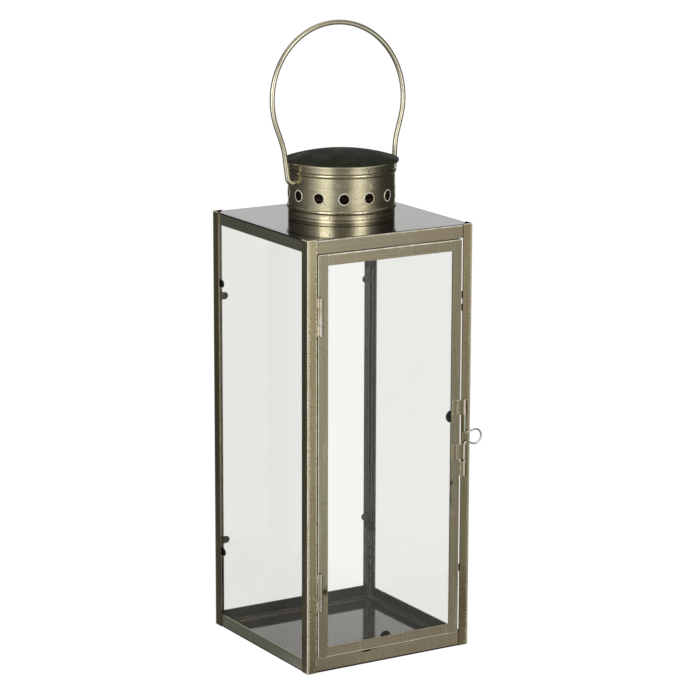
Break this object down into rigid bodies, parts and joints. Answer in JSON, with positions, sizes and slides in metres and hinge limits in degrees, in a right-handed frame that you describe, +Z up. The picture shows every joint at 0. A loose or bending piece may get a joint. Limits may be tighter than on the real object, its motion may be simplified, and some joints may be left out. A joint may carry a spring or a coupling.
{
  "type": "lantern",
  "caption": "Square sheet-metal candle lantern with glass sides, a hinged glass door with a sliding wire bolt, a vented chimney with a domed cap and a swinging wire handle.",
  "frame": {"origin": "centre of the underside of the floor, on the surface that the lantern stands on", "axes": "+Z up, -Y out of the door, +X to the right as seen from the door, where the latch is"},
  "size_m": [0.1598, 0.1534, 0.5015],
  "materials": {
    "frame_metal": "gloss lacquered bronze tone",
    "plate_metal": "mirror gloss lacquer",
    "dark_metal": "dark gloss lacquer",
    "tab_metal": "satin",
    "latch_metal": "antique satin",
    "handle_wire": "satin drawn wire",
    "clear_glass": "clear"
  },
  "bodies": {
    "frame": {"post_front_left": "frame_metal", "post_front_right": "frame_metal", "post_back_left": "frame_metal", "post_back_right": "frame_metal", "top_rail_front": "frame_metal", "top_rail_right": "frame_metal", "top_rail_back": "frame_metal", "top_rail_left": "frame_metal", "bottom_rail_front": "frame_metal", "bottom_rail_right": "frame_metal", "bottom_rail_back": "frame_metal", "bottom_rail_left": "frame_metal", "roof_plate": "plate_metal", "floor_plate": "plate_metal", "chimney": "frame_metal", "chimney_collar": "dark_metal", "chimney_cap": "dark_metal", "glass_left": "clear_glass", "glass_right": "clear_glass", "glass_back": "clear_glass", "glass_tabs_left": "tab_metal", "glass_tabs_right": "tab_metal", "glass_tabs_back": "tab_metal", "door_stop": "tab_metal", "upper_hinge_frame_leaf": "latch_metal", "upper_hinge_pin": "dark_metal", "lower_hinge_frame_leaf": "latch_metal", "lower_hinge_pin": "dark_metal", "latch_keeper": "latch_metal"},
    "door": {"door_hinge_stile": "frame_metal", "door_latch_stile": "frame_metal", "door_top_rail": "frame_metal", "door_bottom_rail": "frame_metal", "door_glass": "clear_glass", "door_glass_tabs": "tab_metal", "upper_hinge_door_leaf": "latch_metal", "lower_hinge_door_leaf": "latch_metal", "latch_upper_guide": "latch_metal", "latch_lower_guide": "latch_metal"},
    "bolt": {"latch_bolt": "latch_metal"},
    "handle": {"carry_handle": "handle_wire"}
  },
  "joints": [
    {"name": "door_hinge", "type": "hinge", "parent": "frame", "child": "door", "pos_m": [-0.0639, -0.0768, 0.176], "axis": [0, 0, -1], "range_deg": [0, 170]},
    {"name": "latch_slide", "type": "slide", "parent": "door", "child": "bolt", "axis": [0, 0, 1], "range_m": [0, 0.0125]},
    {"name": "handle_swing", "type": "hinge", "parent": "frame", "child": "handle", "pos_m": [0, 0, 0.3772], "axis": [1, 0, 0], "range_deg": [-105.5, 114.5]}
  ]
}
